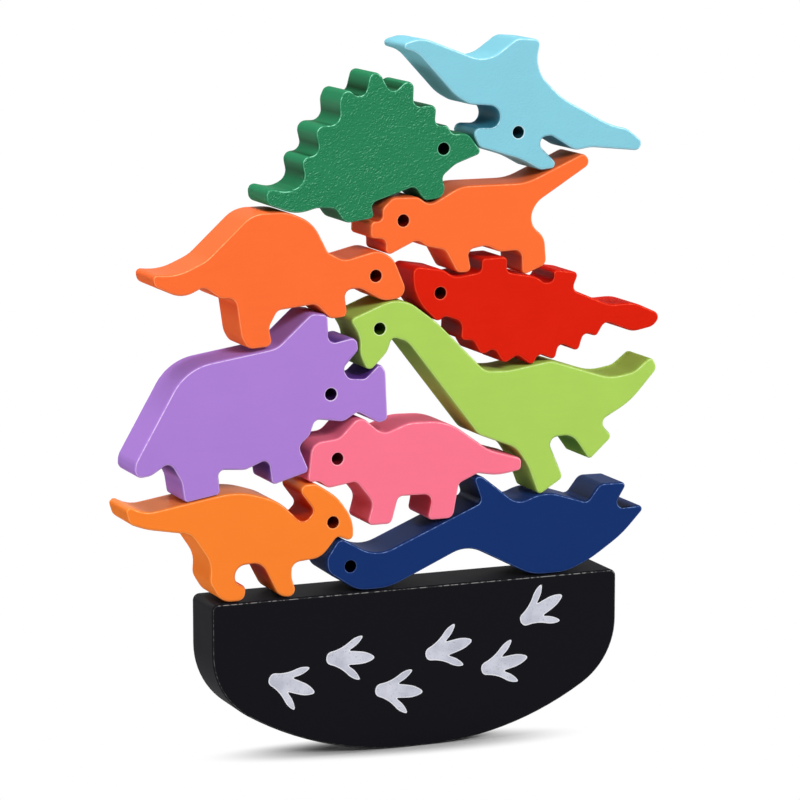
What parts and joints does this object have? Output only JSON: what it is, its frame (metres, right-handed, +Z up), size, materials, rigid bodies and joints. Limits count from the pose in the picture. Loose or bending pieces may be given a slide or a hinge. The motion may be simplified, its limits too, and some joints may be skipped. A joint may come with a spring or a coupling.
{
  "type": "stacking balance toy",
  "caption": "Stacking balance toy: painted wooden animal blocks with drilled eyes stand and lean on each other on the straight edge of a rocking base.",
  "frame": {"origin": "on the line that the base rocks on, below the middle of its straight edge and at mid thickness", "axes": "+X to the right along the base, +Y away from the viewer through the boards, +Z up"},
  "size_m": [0.2087, 0.022, 0.2601],
  "materials": {
    "black_paint": "satin",
    "amber_paint": "satin",
    "navy_paint": "satin",
    "purple_paint": "satin",
    "pink_paint": "satin",
    "lime_paint": "satin",
    "orange_paint": "satin",
    "red_paint": "satin",
    "green_paint": "satin",
    "light_blue_paint": "satin"
  },
  "bodies": {
    "rocker_base": {"rocker_base": "black_paint"},
    "parasaurolophus": {"parasaurolophus": "amber_paint"},
    "plesiosaur": {"plesiosaur": "navy_paint"},
    "triceratops": {"triceratops": "purple_paint"},
    "protoceratops": {"protoceratops": "pink_paint"},
    "brachiosaurus": {"brachiosaurus": "lime_paint"},
    "sailback": {"sailback": "orange_paint"},
    "ankylosaurus": {"ankylosaurus": "red_paint"},
    "tyrannosaurus": {"tyrannosaurus": "orange_paint"},
    "stegosaurus": {"stegosaurus": "green_paint"},
    "pterosaur": {"pterosaur": "light_blue_paint"}
  },
  "joints": [
    {"name": "parasaurolophus_draw", "type": "slide", "parent": "rocker_base", "child": "parasaurolophus", "axis": [0, 1, 0], "range_m": [-0.03, 0.03]},
    {"name": "plesiosaur_draw", "type": "slide", "parent": "rocker_base", "child": "plesiosaur", "axis": [0, 1, 0], "range_m": [-0.03, 0.03]},
    {"name": "triceratops_draw", "type": "slide", "parent": "rocker_base", "child": "triceratops", "axis": [0, 1, 0], "range_m": [-0.03, 0.03]},
    {"name": "protoceratops_draw", "type": "slide", "parent": "rocker_base", "child": "protoceratops", "axis": [0, 1, 0], "range_m": [-0.03, 0.03]},
    {"name": "brachiosaurus_draw", "type": "slide", "parent": "rocker_base", "child": "brachiosaurus", "axis": [0, 1, 0], "range_m": [-0.03, 0.03]},
    {"name": "sailback_draw", "type": "slide", "parent": "rocker_base", "child": "sailback", "axis": [0, 1, 0], "range_m": [-0.03, 0.03]},
    {"name": "ankylosaurus_draw", "type": "slide", "parent": "rocker_base", "child": "ankylosaurus", "axis": [0, 1, 0], "range_m": [-0.03, 0.03]},
    {"name": "tyrannosaurus_draw", "type": "slide", "parent": "rocker_base", "child": "tyrannosaurus", "axis": [0, 1, 0], "range_m": [-0.03, 0.03]},
    {"name": "stegosaurus_draw", "type": "slide", "parent": "rocker_base", "child": "stegosaurus", "axis": [0, 1, 0], "range_m": [-0.03, 0.03]},
    {"name": "pterosaur_lift", "type": "slide", "parent": "rocker_base", "child": "pterosaur", "axis": [0, 0, 1], "range_m": [0, 0.04]}
  ]
}
